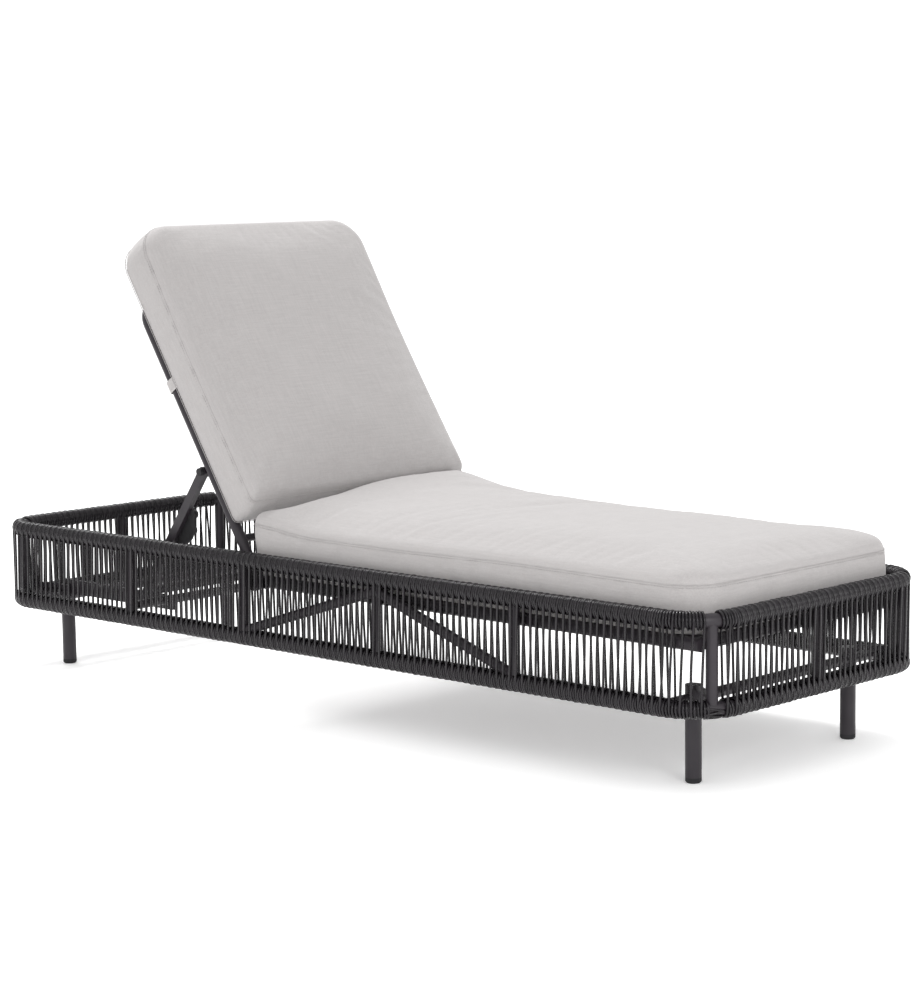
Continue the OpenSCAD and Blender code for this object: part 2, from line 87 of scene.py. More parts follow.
# ---------------------------------------------------------------- mesh helpers
def new_object(name, verts, faces, material, smooth=True, uvs=None):
    mesh = bpy.data.meshes.new(name)
    mesh.from_pydata(np.asarray(verts).tolist(), [], faces)
    mesh.polygons.foreach_set("use_smooth", [smooth] * len(mesh.polygons))
    if uvs is not None:
        layer = mesh.uv_layers.new(name="along")
        index = np.empty(len(mesh.loops), int)
        mesh.loops.foreach_get("vertex_index", index)
        layer.data.foreach_set("uv", np.asarray(uvs)[index].ravel())
    mesh.materials.append(material)
    mesh.update()
    obj = bpy.data.objects.new(name, mesh)
    scene.collection.objects.link(obj)
    return obj


class Tubes:
    """Collects swept tubes of round or flattened section into one mesh."""

    def __init__(self, sides=6):
        self.sides = sides
        self.verts, self.faces, self.uvs, self.count = [], [], [], 0

    def add(self, points, side, radius, closed=False, across=1.0):
        """points is N by 3; side is a direction, roughly square to the path at each point."""
        p = np.asarray(points, float)
        r = np.broadcast_to(np.asarray(radius, float), (len(p),))
        if closed:
            t = np.roll(p, -1, 0) - np.roll(p, 1, 0)
        else:
            t = np.gradient(p, axis=0)
        t /= np.linalg.norm(t, axis=1)[:, None] + 1e-12
        side = np.broadcast_to(side, p.shape)
        b = side - (side * t).sum(1)[:, None] * t
        b /= np.linalg.norm(b, axis=1)[:, None] + 1e-12
        n = np.cross(t, b)
        m = self.sides
        f = np.arange(m) * 2 * math.pi / m
        ring = (b[:, None, :] * np.cos(f)[None, :, None] * across
                + n[:, None, :] * np.sin(f)[None, :, None]) * r[:, None, None]
        self.verts.append((p[:, None, :] + ring).reshape(-1, 3))
        along = np.concatenate([[0], np.cumsum(np.linalg.norm(np.diff(p, axis=0), axis=1))])
        uv = np.stack([np.repeat(along, m), np.tile(np.arange(m) / m, len(p))], 1)
        self.uvs.append(uv)
        base, rows = self.count, len(p)
        last = rows if closed else rows - 1
        i = np.arange(last)[:, None]
        j = np.arange(m)[None, :]
        k = (i + 1) % rows
        quad = np.stack([base + i * m + j, base + i * m + (j + 1) % m,
                         base + k * m + (j + 1) % m, base + k * m + j], -1).reshape(-1, 4)
        self.faces += quad.tolist()
        if not closed:
            self.faces.append([base + q for q in range(m)][::-1])
            self.faces.append([base + (rows - 1) * m + q for q in range(m)])
        self.count += rows * m

    def object(self, name, material):
        return new_object(name, np.concatenate(self.verts), self.faces, material,
                          uvs=np.concatenate(self.uvs))


# ---------------------------------------------------------------- materials
METAL_DARK, METAL_LIGHT = (0.018, 0.0145, 0.0185), (0.029, 0.0245, 0.0295)
# The third cord colour is a painted highlight, laid on the ribs' crests as lighter streaks of
# light
CORD_DARK, CORD_LIGHT, CORD_RIB_HIGHLIGHT = ((0.0042, 0.0032, 0.0044), (0.0125, 0.0100, 0.0128),
                                   (0.018, 0.0150, 0.0185))
RUBBER_DARK, RUBBER_LIGHT = (0.010, 0.010, 0.011), (0.024, 0.023, 0.025)
CLOTH_DARK, CLOTH_LIGHT = (0.374, 0.357, 0.354), (0.434, 0.415, 0.411)
THREAD_DARK, THREAD_LIGHT = (0.35, 0.334, 0.331), (0.40, 0.382, 0.379)
STRAP_DARK, STRAP_LIGHT = (0.38, 0.365, 0.36), (0.48, 0.46, 0.455)
THREAD_BANDS = 262.0    # scale of the bands that draw the cloth's threads
RIB_BANDS = 160.0       # the same for the strap's ribs
RUBBED = 1.7            # how much lighter the metal is where it is rubbed


def start_material(name, roughness, specular=0.5, sheen=0.0, coat=0.0):
    mat = bpy.data.materials.new(name)
    mat.use_nodes = True
    nodes, links = mat.node_tree.nodes, mat.node_tree.links
    shader = nodes["Principled BSDF"]
    shader.inputs["Roughness"].default_value = roughness
    shader.inputs["Specular IOR Level"].default_value = specular
    shader.inputs["Sheen Weight"].default_value = sheen
    shader.inputs["Coat Weight"].default_value = coat
    shader.inputs["Coat Roughness"].default_value = 0.35
    coords = nodes.new("ShaderNodeTexCoord")
    return mat, nodes, links, shader, coords


def mapped(nodes, links, source, scale=(1, 1, 1), turn=(0, 0, 0)):
    m = nodes.new("ShaderNodeMapping")
    m.inputs["Scale"].default_value = scale
    m.inputs["Rotation"].default_value = turn
    links.new(source, m.inputs["Vector"])
    return m.outputs["Vector"]


def noise(nodes, links, vector, scale, detail=2.0, rough=0.5):
    n = nodes.new("ShaderNodeTexNoise")
    n.inputs["Scale"].default_value = scale
    n.inputs["Detail"].default_value = detail
    n.inputs["Roughness"].default_value = rough
    links.new(vector, n.inputs["Vector"])
    return n.outputs["Fac"]


def bands(nodes, links, vector, axis, scale, wobble=0.0):
    w = nodes.new("ShaderNodeTexWave")
    w.bands_direction = axis
    w.inputs["Scale"].default_value = scale
    w.inputs["Distortion"].default_value = wobble
    w.inputs["Detail"].default_value = 1.0
    w.inputs["Detail Scale"].default_value = 0.4
    links.new(vector, w.inputs["Vector"])
    return w.outputs["Fac"]


def ramp(nodes, links, value, stops):
    r = nodes.new("ShaderNodeValToRGB")
    while len(r.color_ramp.elements) < len(stops):
        r.color_ramp.elements.new(0.5)
    for element, (place, color) in zip(r.color_ramp.elements, stops):
        element.position = place
        element.color = (*color, 1)
    links.new(value, r.inputs["Fac"])
    return r.outputs["Color"]


def math_node(nodes, links, kind, a, b):
    m = nodes.new("ShaderNodeMath")
    m.operation = kind
    for socket, v in zip(m.inputs, (a, b)):
        if isinstance(v, (int, float)):
            socket.default_value = v
        else:
            links.new(v, socket)
    return m.outputs[0]


def mixed(nodes, links, fac, a, b, kind="MIX"):
    m = nodes.new("ShaderNodeMix")
    m.data_type = "RGBA"
    m.blend_type = kind
    for name, v in (("Factor", fac), ("A", a), ("B", b)):
        socket = [s for s in m.inputs if s.name == name and s.enabled][0]
        if isinstance(v, (int, float)):
            socket.default_value = v
        elif isinstance(v, tuple):
            socket.default_value = (*v, 1)
        else:
            links.new(v, socket)
    return [s for s in m.outputs if s.enabled][0]


def bump(nodes, links, shader, height, strength, distance):
    b = nodes.new("ShaderNodeBump")
    b.inputs["Strength"].default_value = strength
    b.inputs["Distance"].default_value = distance
    links.new(height, b.inputs["Height"])
    links.new(b.outputs["Normal"], shader.inputs["Normal"])


def coated_metal(name, dark, light):
    """Powder-coated steel: orange peel, slow tone changes and small rubbed spots."""
    mat, nodes, links, shader, coords = start_material(name, 0.42, 0.33, coat=0.03)
    place = coords.outputs["Object"]
    tone = noise(nodes, links, place, 9.0, 4.0)
    color = ramp(nodes, links, tone, [(0.3, dark), (0.7, light)])
    rub = ramp(nodes, links, noise(nodes, links, place, 70.0, 6.0, 0.7),
               [(0.66, (0, 0, 0)), (0.8, (1, 1, 1))])
    worn = tuple(min(1, c * RUBBED) for c in light)
    links.new(mixed(nodes, links, math_node(nodes, links, "MULTIPLY", rub, 0.35), color, worn),
              shader.inputs["Base Color"])
    links.new(ramp(nodes, links, noise(nodes, links, place, 35.0, 3.0),
                   [(0.3, (0.34,) * 3), (0.7, (0.5,) * 3)]), shader.inputs["Roughness"])
    bump(nodes, links, shader, noise(nodes, links, place, 900.0, 1.0), 0.25, 0.0003)
    return mat


def cord_material(name):
    """Extruded cord: fine ribs along it, their crests painted lighter as highlight streaks, and a
    tone that changes from strand to strand.
    """
    mat, nodes, links, shader, coords = start_material(name, 0.25, 0.32)
    along = coords.outputs["UV"]
    place = coords.outputs["Object"]
    tone = noise(nodes, links, mapped(nodes, links, place, (1, 1, 0.15)), 60.0, 3.0)
    ribs = bands(nodes, links, mapped(nodes, links, along, (0, 1, 0)), "Y", 1.57, 0.0)
    base = ramp(nodes, links, tone, [(0.3, CORD_DARK), (0.72, CORD_LIGHT)])
    # The ribs' crests take the lighter colour, a painted highlight streak along the cord; their
    # relief comes from the bump below
    links.new(mixed(nodes, links, math_node(nodes, links, "MULTIPLY", ribs, 0.3), base,
                    CORD_RIB_HIGHLIGHT), shader.inputs["Base Color"])
    links.new(ramp(nodes, links, noise(nodes, links, place, 120.0, 2.0),
                   [(0.3, (0.17,) * 3), (0.7, (0.29,) * 3)]), shader.inputs["Roughness"])
    bump(nodes, links, shader, ribs, 0.2, 0.0002)
    return mat


def fabric(name, tone_dark, tone_light, turn=0.0):
    """Plain-weave outdoor cloth: crossed threads, slubs and a little mottling."""
    mat, nodes, links, shader, coords = start_material(name, 0.9, 0.25, sheen=0.25)
    shader.inputs["Sheen Roughness"].default_value = 0.5
    place = mapped(nodes, links, coords.outputs["Object"], turn=(turn, 0, 0))
    facing = mapped(nodes, links, coords.outputs["Normal"], turn=(turn, 0, 0))
    split = nodes.new("ShaderNodeSeparateXYZ")
    links.new(facing, split.inputs[0])
    threads = [bands(nodes, links, place, axis, THREAD_BANDS, 0.6) for axis in "XYZ"]
    weave = None
    for i in range(3):
        pair = math_node(nodes, links, "MULTIPLY", threads[(i + 1) % 3], threads[(i + 2) % 3])
        faces_axis = math_node(nodes, links, "ABSOLUTE", split.outputs[i], 0.0)
        share = math_node(nodes, links, "POWER", faces_axis, 3.0)
        part = math_node(nodes, links, "MULTIPLY", pair, share)
        weave = part if weave is None else math_node(nodes, links, "ADD", weave, part)
    slub_x = noise(nodes, links, mapped(nodes, links, place, (30, 900, 900)), 1.0, 2.0)
    slub_y = noise(nodes, links, mapped(nodes, links, place, (900, 30, 900)), 1.0, 2.0)
    slubs = math_node(nodes, links, "MULTIPLY",
                      math_node(nodes, links, "ADD", slub_x, slub_y), 0.5)
    streaks = [noise(nodes, links, mapped(nodes, links, place, size), 1.0, 3.0, 0.7)
               for size in ((14, 330, 330), (330, 14, 330))]
    mottle = math_node(nodes, links, "MULTIPLY", math_node(nodes, links, "ADD", *streaks), 0.5)
    color = ramp(nodes, links, math_node(nodes, links, "ADD",
                                         math_node(nodes, links, "MULTIPLY", slubs, 0.4),
                                         math_node(nodes, links, "MULTIPLY", mottle, 0.6)),
                 [(0.40, tone_dark), (0.60, tone_light)])
    shade = ramp(nodes, links, weave, [(0.0, (0.93,) * 3), (0.6, (1.0,) * 3)])
    links.new(mixed(nodes, links, 1.0, color, shade, "MULTIPLY"), shader.inputs["Base Color"])
    height = math_node(nodes, links, "ADD", weave,
                       math_node(nodes, links, "MULTIPLY", slubs, 0.8))
    bump(nodes, links, shader, height, 0.35, 0.0004)
    return mat


def webbing(name, dark, light, turn=0.0):
    """Ribbed woven band."""
    mat, nodes, links, shader, coords = start_material(name, 0.85, 0.25, sheen=0.2)
    place = mapped(nodes, links, coords.outputs["Object"], turn=(turn, 0, 0))
    ribs = bands(nodes, links, place, "X", RIB_BANDS, 0.3)
    color = ramp(nodes, links, ribs, [(0.1, dark), (0.8, light)])
    links.new(color, shader.inputs["Base Color"])
    bump(nodes, links, shader, ribs, 0.5, 0.0005)
    return mat


def rubber(name):
    """Matt black rubber with a fine grain."""
    mat, nodes, links, shader, coords = start_material(name, 0.75, 0.35)
    place = coords.outputs["Object"]
    tone = noise(nodes, links, place, 40.0, 4.0)
    links.new(ramp(nodes, links, tone, [(0.3, RUBBER_DARK), (0.7, RUBBER_LIGHT)]),
              shader.inputs["Base Color"])
    bump(nodes, links, shader, noise(nodes, links, place, 1200.0, 2.0), 0.4, 0.0003)
    return mat


metal = coated_metal("frame_metal", METAL_DARK, METAL_LIGHT)
cord_look = cord_material("cord_plastic")
cap_look = rubber("cap_rubber")
seat_look = fabric("seat_cloth", CLOTH_DARK, CLOTH_LIGHT)
back_look = fabric("back_cloth", CLOTH_DARK, CLOTH_LIGHT, -BACK_ANGLE)
thread_look = fabric("seam_thread", THREAD_DARK, THREAD_LIGHT)
strap_look = webbing("strap_webbing", STRAP_DARK, STRAP_LIGHT, -BACK_ANGLE)

for name, node in frame["nodes"].items():
    look = cap_look if name in ("foot_caps", "strut_pivot_caps", "strut_catches") else metal
    node.data.materials.clear()
    node.data.materials.append(look)


# ---------------------------------------------------------------- the wrapped ring
CORD_R = 0.00245
WRAP_R = RAIL_R + CORD_R
PITCH = 0.016                   # from one strand of a row to the next
POST_GAP = 0.0125               # from a corner post's middle to the windings beside it
TURNS = 2.5                     # turns round a rail before the cord crosses to the other
TURNS_PER_PITCH = 3
WRAP_POINTS, CROSS_POINTS = 43, 11
LEAN, SWAY = 0.0011, 0.0009     # spread of the crossings' slant and of their middles
BOW = (-0.0006, 0.0002)         # how far a crossing stands off the flat
RELIEF, RELIEF_SPAN = (0.0006, 0.0011), 0.33    # how far the middle turn stands up
LOOSE = 0.0004                  # how much looser one winding may be than the next

# The ring's stretches in order with their lengths
QUARTER = BEND_R * math.pi / 2
SECTIONS = [("far", 2 * BEND_Y), ("far_head", QUARTER), ("head", 2 * BEND_X),
            ("near_head", QUARTER), ("near", 2 * BEND_Y), ("near_foot", QUARTER),
            ("foot", 2 * BEND_X), ("far_foot", QUARTER)]
LAST = len(SECTIONS) - 1
STARTS = np.concatenate([[0], np.cumsum([s[1] for s in SECTIONS])])
RING = STARTS[-1]


def on_ring(u):
    """Middle line, outward direction and running direction of the ring at distance u."""
    u = np.asarray(u, float) % RING
    part = np.clip(np.searchsorted(STARTS, u, side="right") - 1, 0, LAST)
    s = u - STARTS[part]
    middle = np.zeros((len(u), 2))
    outward = np.zeros((len(u), 2))
    signs = [(1, 1), (1, 1), (-1, 1), (-1, 1), (-1, -1), (-1, -1), (1, -1), (1, -1)]
    for i, (sx, sy) in enumerate(signs):
        here = part == i
        if i % 2:
            a = (i // 2) * math.pi / 2 + s[here] / BEND_R
            out = np.stack([np.cos(a), np.sin(a)], 1)
            middle[here] = np.array([sx * BEND_X, sy * BEND_Y]) + BEND_R * out
        else:
            out = np.array([[1, 0], [0, 1], [-1, 0], [0, -1]][i // 2], float)
            run = np.array([-out[1], out[0]])
            corner = np.array([sx * BEND_X, -sy * BEND_Y]) if i in (0, 4) else np.array(
                [-sx * BEND_X, sy * BEND_Y])
            middle[here] = corner + BEND_R * out + s[here, None] * run
        outward[here] = out
    run = np.stack([-outward[:, 1], outward[:, 0]], 1)
    return middle, outward, run


def section_points(u, v, w):
    """World points at distance u along the ring, v outwards and height w, and the run there."""
    middle, outward, run = on_ring(u)
    p = np.column_stack([middle + v[:, None] * outward, w])
    return p, np.column_stack([run, np.zeros(len(u))])


def at_side(y, near):
    """Distance along the ring of the place y on a long side."""
    return STARTS[4] + BEND_Y - y if near else STARTS[0] + y + BEND_Y


POST_BEFORE, POST_AFTER = BEND_R * POST_ANGLE, BEND_R * (math.pi / 2 - POST_ANGLE)
corner_posts = [STARTS[1] + POST_BEFORE, STARTS[3] + POST_AFTER,
                STARTS[5] + POST_BEFORE, STARTS[7] + POST_AFTER]

# What the inner strands have to pass, stubs and hinge pins: distance along, height, radius
STUB_YS, STUB_Z, STUB_R = (-0.545, -0.190), 0.265, 0.0085
PIN_R = 0.0065
PASS_GAP, PASS_HEIGHT, PASS_RANGE = 0.0006, 0.034, 0.05
obstacles = [(STARTS[6] + BEND_X, STUB_Z, STUB_R)]
for near in (True, False):
    obstacles += [(at_side(y, near), STUB_Z, STUB_R) for y in STUB_YS]
    obstacles.append((at_side(HINGE[1], near), HINGE[2], PIN_R))
RAIL_END = box("deck_rail_far")


def meets_deck_rail(strand):
    """Whether an inner strand would run through the end of a deck rail."""
    p, _ = section_points(strand[:, 0], strand[:, 1], strand[:, 2])
    lo, hi = RAIL_END[0] - CORD_R, RAIL_END[1] + CORD_R
    p[:, 0] = np.abs(p[:, 0])
    return bool(((p > lo) & (p < hi)).all(1).any())


def cord_span(u0, u1):
    """A cord wound between two posts: its cells of (u, v, w) points, and which end the cord."""
    count = round((u1 - u0) / PITCH)
    pitch = (u1 - u0) / count
    turn = pitch / TURNS_PER_PITCH
    around = np.linspace(0, TURNS, WRAP_POINTS)
    rise = np.linspace(0, 1, CROSS_POINTS)[1:-1]
    belly = np.sin(math.pi * rise)
    lean = np.convolve(rng.normal(0, LEAN, count + 8), np.ones(3) / 3, "same")[4:4 + count]
    lean[[0, -1]] = 0
    cells, stops = [], []
    for k in range(count):
        start = u0 + k * pitch
        a = 2 * math.pi * around
        r = (WRAP_R + rng.uniform(*RELIEF) * np.exp(-((around - TURNS / 2) / RELIEF_SPAN) ** 2)
             + rng.uniform(0, LOOSE))
        sway = rng.normal(0, SWAY, 2)
        bow = rng.uniform(*BOW, 2)
        low = start + TURNS * turn - turn + lean[k]
        following = start + pitch
        top = np.stack([start + turn * around, -r * np.cos(a), TOP_Z + r * np.sin(a)], 1)
        leave = start + TURNS * turn
        outer = np.stack([leave + (low - leave) * rise + sway[0] * belly,
                          WRAP_R + bow[0] * belly, TOP_Z + (BOTTOM_Z - TOP_Z) * rise], 1)
        bottom = np.stack([low + turn * around, r * np.cos(a), BOTTOM_Z - r * np.sin(a)], 1)
        leave = low + TURNS * turn
        inner = np.stack([leave + (following - leave) * rise + sway[1] * belly,
                          -WRAP_R - bow[1] * belly, BOTTOM_Z + (TOP_Z - BOTTOM_Z) * rise], 1)
        for place, height, radius in obstacles:
            off = inner[:, 0] - place
            fade = np.exp(-((inner[:, 2] - height) / PASS_HEIGHT) ** 2)
            need = (radius + CORD_R + PASS_GAP) * fade
            if np.abs(off).max() < PASS_RANGE:
                sign = 1.0 if off.mean() >= 0 else -1.0
                inner[:, 0] = place + sign * np.maximum(sign * off, need)
        stops.append(meets_deck_rail(inner))
        cells.append(np.concatenate([top, outer, bottom] + ([] if stops[-1] else [inner])))
    return cells, stops


weave = {name: Tubes(6) for name, _ in SECTIONS}
for i in range(4):
    u0 = corner_posts[i] + POST_GAP
    u1 = corner_posts[(i + 1) % 4] - POST_GAP + (RING if i == 3 else 0)
    cells, stops = cord_span(u0, u1)
    names = []
    for c in cells:
        part = int(np.clip(np.searchsorted(STARTS, c[0, 0] % RING, side="right") - 1, 0, LAST))
        names.append(SECTIONS[part][0])
    k = 0
    while k < len(cells):
        end = k
        while end + 1 < len(cells) and names[end + 1] == names[k] and not stops[end]:
            end += 1
        run = np.concatenate(cells[k:end + 1])
        if end + 1 < len(cells) and not stops[end]:
            run = np.concatenate([run, cells[end + 1][:1]])
        p, side = section_points(run[:, 0], run[:, 1], run[:, 2])
        weave[names[k]].add(p, side, CORD_R)
        k = end + 1

# At each corner post the cord carries on over the lower rail in a few slanted passes, whose
# ends sink in between the windings
PASS_ANGLES = (-100, -72, -46, -20, 6)
PASS_SLANTS = (-16, 14)
PASS_HALF, PASS_LIFT, PASS_SINK = 0.0175, 0.0004, 0.0042
for name, post in zip(("far_head", "near_head", "near_foot", "far_foot"), corner_posts):
    for j, middle_angle in enumerate(PASS_ANGLES):
        s = np.linspace(-1, 1, 19)
        a = math.radians(middle_angle) + math.radians(PASS_SLANTS[j % 2]) * s
        r = WRAP_R + PASS_LIFT - PASS_SINK * np.clip(np.abs(s) * 1.8 - 0.9, 0, 1) ** 2
        u = post + PASS_HALF * s
        p, side = section_points(u, r * np.cos(a), BOTTOM_Z + r * np.sin(a))
        _, outward, _ = on_ring(u)
        normal = np.column_stack([outward * np.cos(a)[:, None], np.sin(a)])
        weave[name].add(p, normal, CORD_R * 0.96)

for name, tubes in weave.items():
    piece = tubes.object("cord_weave_" + name, cord_look)
    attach(piece, "root")
    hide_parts("weave_" + name)


# ---------------------------------------------------------------- cushions
def outline_depth(x, y, half, y0, y1, r0, r1):
    """Depth inside a rectangle with rounded corners, r0 at its low end and r1 at its high end."""
    middle = (y0 + y1) / 2
    r = np.where(y < middle, r0, r1)
    qx = np.abs(x) - (half - r)
    qy = np.abs(y - middle) - ((y1 - y0) / 2 - r)
    corner = np.hypot(np.maximum(qx, 0), np.maximum(qy, 0))
    return -(corner + np.minimum(np.maximum(qx, qy), 0) - r)


def outline_points(half, y0, y1, r0, r1, step):
    """The same outline as evenly spaced points, with its outward directions."""
    path, normals = [], []
    corners = [(half - r0, y0 + r0, r0, -90), (half - r1, y1 - r1, r1, 0),
               (-half + r1, y1 - r1, r1, 90), (-half + r0, y0 + r0, r0, 180)]
    for cx, cy, r, a0 in corners:
        a = np.radians(a0 + np.linspace(0, 90, max(8, int(r * math.pi / 2 / step * 2))))
        path.append(np.stack([cx + r * np.cos(a), cy + r * np.sin(a)], 1))
        normals.append(np.stack([np.cos(a), np.sin(a)], 1))
    path, normals = np.concatenate(path), np.concatenate(normals)
    loop = np.vstack([path, path[:1]])
    s = np.concatenate([[0], np.cumsum(np.linalg.norm(np.diff(loop, axis=0), axis=1))])
    n = int(s[-1] / step)
    at = np.linspace(0, s[-1], n, endpoint=False)
    both = [np.interp(at, s, np.append(c, c[0])) for c in (*path.T, *normals.T)]
    out = np.stack(both[2:], 1)
    return np.stack(both[:2], 1), out / np.linalg.norm(out, axis=1)[:, None]


def smooth_step(t):
    t = np.clip(t, 0, 1)
    return t * t * (3 - 2 * t)


def prism(name, outline, height, voxel):
    """A remeshed block with the cushion's outline, from 0 to height."""
    pts, _ = outline_points(*outline, 0.008)
    n = len(pts)
    verts = [(x, y, z) for z in (0.0, height) for x, y in pts]
    faces = [list(range(n))[::-1], list(range(n, 2 * n))]
    faces += [[i, (i + 1) % n, n + (i + 1) % n, n + i] for i in range(n)]
    obj = new_object(name, verts, faces, seat_look)
    mod = obj.modifiers.new("remesh", "REMESH")
    mod.mode = "VOXEL"
    mod.voxel_size = voxel
    mod.use_smooth_shade = True
    bpy.context.view_layer.update()
    graph = bpy.context.evaluated_depsgraph_get()
    mesh = bpy.data.meshes.new_from_object(obj.evaluated_get(graph))
    obj.modifiers.clear()
    old = obj.data
    obj.data = mesh
    bpy.data.meshes.remove(old)
    return obj


def coords_of(mesh):
    co = np.empty(len(mesh.vertices) * 3)
    mesh.vertices.foreach_get("co", co)
    return co.reshape(-1, 3)


def set_coords(mesh, co):
    mesh.vertices.foreach_set("co", np.asarray(co, float).ravel())
    mesh.update()


class Cushion:
    """One cushion in its own frame: x across, y along, z from its rear or underside outwards."""

    BLOCK = 0.085           # height of the plain block that it is shaped from
    BELLY = 0.002           # how far the boxing stands out between its seams
    SEAM_PINCH = 0.0012     # how far the seams are drawn in
    PRESSURE, SHRINK = 3.2, -0.004
    QUICK_SWELL = 0.014

    def __init__(self, name, outline, seam, crown, skew, to_world, voxel,
                 low_seam=0.009, rest=0.0008):
        self.name, self.outline = name, outline
        self.seam, self.crown, self.skew, self.to_world = seam, crown, skew, to_world
        self.low_seam, self.rest = low_seam, rest
        self.obj = prism(name, outline, self.BLOCK, voxel)
        self.block = coords_of(self.obj.data)
        self.depth = outline_depth(self.block[:, 0], self.block[:, 1], *outline)
        self.h = self.block[:, 2] / self.BLOCK
        self.base = self.shaped()

    def shaped(self):
        """The block's points moved to the cushion's resting shape."""
        x, y, h = self.block[:, 0].copy(), self.block[:, 1].copy(), self.h
        depth = np.maximum(self.depth, 0)
        seam_z = self.seam(y)
        z = self.low_seam + (seam_z - self.low_seam) * h
        z = z + (h > 0.9) * self.crown(x, y, depth)
        floor_lid = smooth_step(depth / 0.014) * (h < 0.1)
        z = z - floor_lid * (self.low_seam - self.rest)
        belly = np.sin(math.pi * np.clip(h, 0, 1)) * np.exp(-depth / 0.02)
        grad = self.outward(x, y)
        x = x + grad[:, 0] * belly * self.BELLY
        y = y + grad[:, 1] * belly * self.BELLY
        y = self.skew(y, z)
        return np.stack([x, y, z], 1)

    def outward(self, x, y):
        """Unit directions out of the outline at points in its plane."""
        def depth(a, b):
            return outline_depth(a, b, *self.outline)

        e = 1e-4
        g = np.stack([depth(x - e, y) - depth(x + e, y), depth(x, y - e) - depth(x, y + e)], 1)
        return g / (np.linalg.norm(g, axis=1)[:, None] + 1e-9)

    def seam_path(self, which, step, out):
        """Points of the upper or lower seam in the cushion's frame, with outward directions."""
        pts, normal = outline_points(*self.outline, step)
        x, y = pts[:, 0], pts[:, 1]
        z = self.seam(y) if which == "upper" else np.full(len(x), self.low_seam)
        x, y = x + normal[:, 0] * out, y + normal[:, 1] * out
        return np.stack([x, self.skew(y, z), z], 1), np.column_stack([normal, np.zeros(len(x))])

    def stuff(self):
        """Sets up the cloth simulation that swells the shape, held at its seams."""
        obj = self.obj
        at_seam = (self.depth < 0.008) & ((self.h > 0.93) | (self.h < 0.07))
        set_coords(obj.data, self.base)
        group = obj.vertex_groups.new(name="pin")
        group.add([int(i) for i in np.nonzero(at_seam)[0]], 1.0, "REPLACE")
        group.add([int(i) for i in np.nonzero(~at_seam)[0]], 0.0, "REPLACE")
        cloth = obj.modifiers.new("cloth", "CLOTH")
        s = cloth.settings
        s.quality = 6
        s.mass = 0.3
        s.tension_stiffness = s.compression_stiffness = 18
        s.shear_stiffness = 8
        s.bending_stiffness = 0.6
        s.use_pressure = True
        s.uniform_pressure_force = self.PRESSURE
        s.shrink_min = self.SHRINK
        s.vertex_group_mass = "pin"
        s.effector_weights.gravity = 0.0
        cloth.collision_settings.use_collision = False
        cloth.collision_settings.use_self_collision = False

    def finish(self, look, cap, limits, ripples):
        """Takes over the swollen shape, no further than about cap, and wrinkles it."""
        obj, base = self.obj, self.base
        if "cloth" in obj.modifiers:
            graph = bpy.context.evaluated_depsgraph_get()
            swollen = coords_of(obj.evaluated_get(graph).data).copy()
            obj.modifiers.clear()
            obj.vertex_groups.clear()
            move = swollen - base
            length = np.linalg.norm(move, axis=1)
            move *= (cap * np.tanh(length / cap) / (length + 1e-9))[:, None]
        else:
            obj.data.update()
            normal = np.empty(len(base) * 3)
            obj.data.vertices.foreach_get("normal", normal)
            swell = self.QUICK_SWELL * smooth_step(self.depth / 0.05)
            move = normal.reshape(-1, 3) * swell[:, None]
        co = base + move
        co = co + ripples(self.block, self.depth, self.h)
        seam = np.exp(-(np.minimum(np.abs(self.depth), 0.05) / 0.005) ** 2)
        top_seam = seam * np.exp(-((1 - self.h) * self.BLOCK / 0.006) ** 2)
        low_seam = seam * np.exp(-(self.h * self.BLOCK / 0.006) ** 2)
        outward = self.outward(self.block[:, 0], self.block[:, 1])
        inward = np.column_stack([-outward, np.zeros(len(co))])
        co = co + inward * ((top_seam + low_seam) * self.SEAM_PINCH)[:, None]
        co = limits(co)
        set_coords(obj.data, self.to_world(co))
        obj.data.materials.clear()
        obj.data.materials.append(look)
        obj.data.polygons.foreach_set("use_smooth", [True] * len(obj.data.polygons))
        sub = obj.modifiers.new("finer", "SUBSURF")
        sub.levels = sub.render_levels = 1
        return obj

    def seams(self, look, body):
        """The closing cord of each seam and its stitches, as one piece."""
        tubes = Tubes(5)
        for which in ("upper", "lower"):
            p, out = self.seam_path(which, 0.006, -0.0006)
            tubes.add(self.to_world(p), self.turned(out), 0.0007, closed=True)
        for which, drop in (("upper", -0.0045), ("lower", 0.0045)):
            p, out = self.seam_path(which, 0.0022, 0.0006)
            p = p + np.array([0, 0, drop])
            world, direction = self.to_world(p), self.turned(out)
            for k in range(0, len(p) - 3, 3):
                tubes.add(world[k:k + 3], direction[k:k + 3], 0.00042)
        piece = tubes.object(self.name + "_seams", look)
        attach(piece, body)

    def turned(self, directions):
        """Directions of the cushion's frame as world directions."""
        zero = self.to_world(np.zeros(3))
        return self.to_world(directions) - zero


def value_noise(x, y, seed, scale):
    """Smooth repeatable noise over a plane, about -1 to 1."""
    grid = np.random.default_rng(seed).uniform(-1, 1, (64, 64))
    fx, fy = (x / scale) % 63, (y / scale) % 63
    ix, iy = fx.astype(int), fy.astype(int)
    tx, ty = smooth_step(fx - ix), smooth_step(fy - iy)
    jx, jy = (ix + 1) % 64, (iy + 1) % 64
    return ((grid[ix, iy] * (1 - tx) + grid[jx, iy] * tx) * (1 - ty)
            + (grid[ix, jy] * (1 - tx) + grid[jx, jy] * tx) * ty)


def ridge(x, y, ax, ay, bx, by, width):
    """1 along the line from a to b, falling off to the sides and at the ends."""
    d = np.array([bx - ax, by - ay])
    length = np.hypot(*d)
    d = d / length
    along = ((x - ax) * d[0] + (y - ay) * d[1]) / length
    off = (x - ax) * -d[1] + (y - ay) * d[0]
    off = off + 0.004 * np.sin(along * 5 + ax * 40)
    return np.exp(-(off / width) ** 2) * smooth_step(along * 4) * smooth_step((1 - along) * 3)


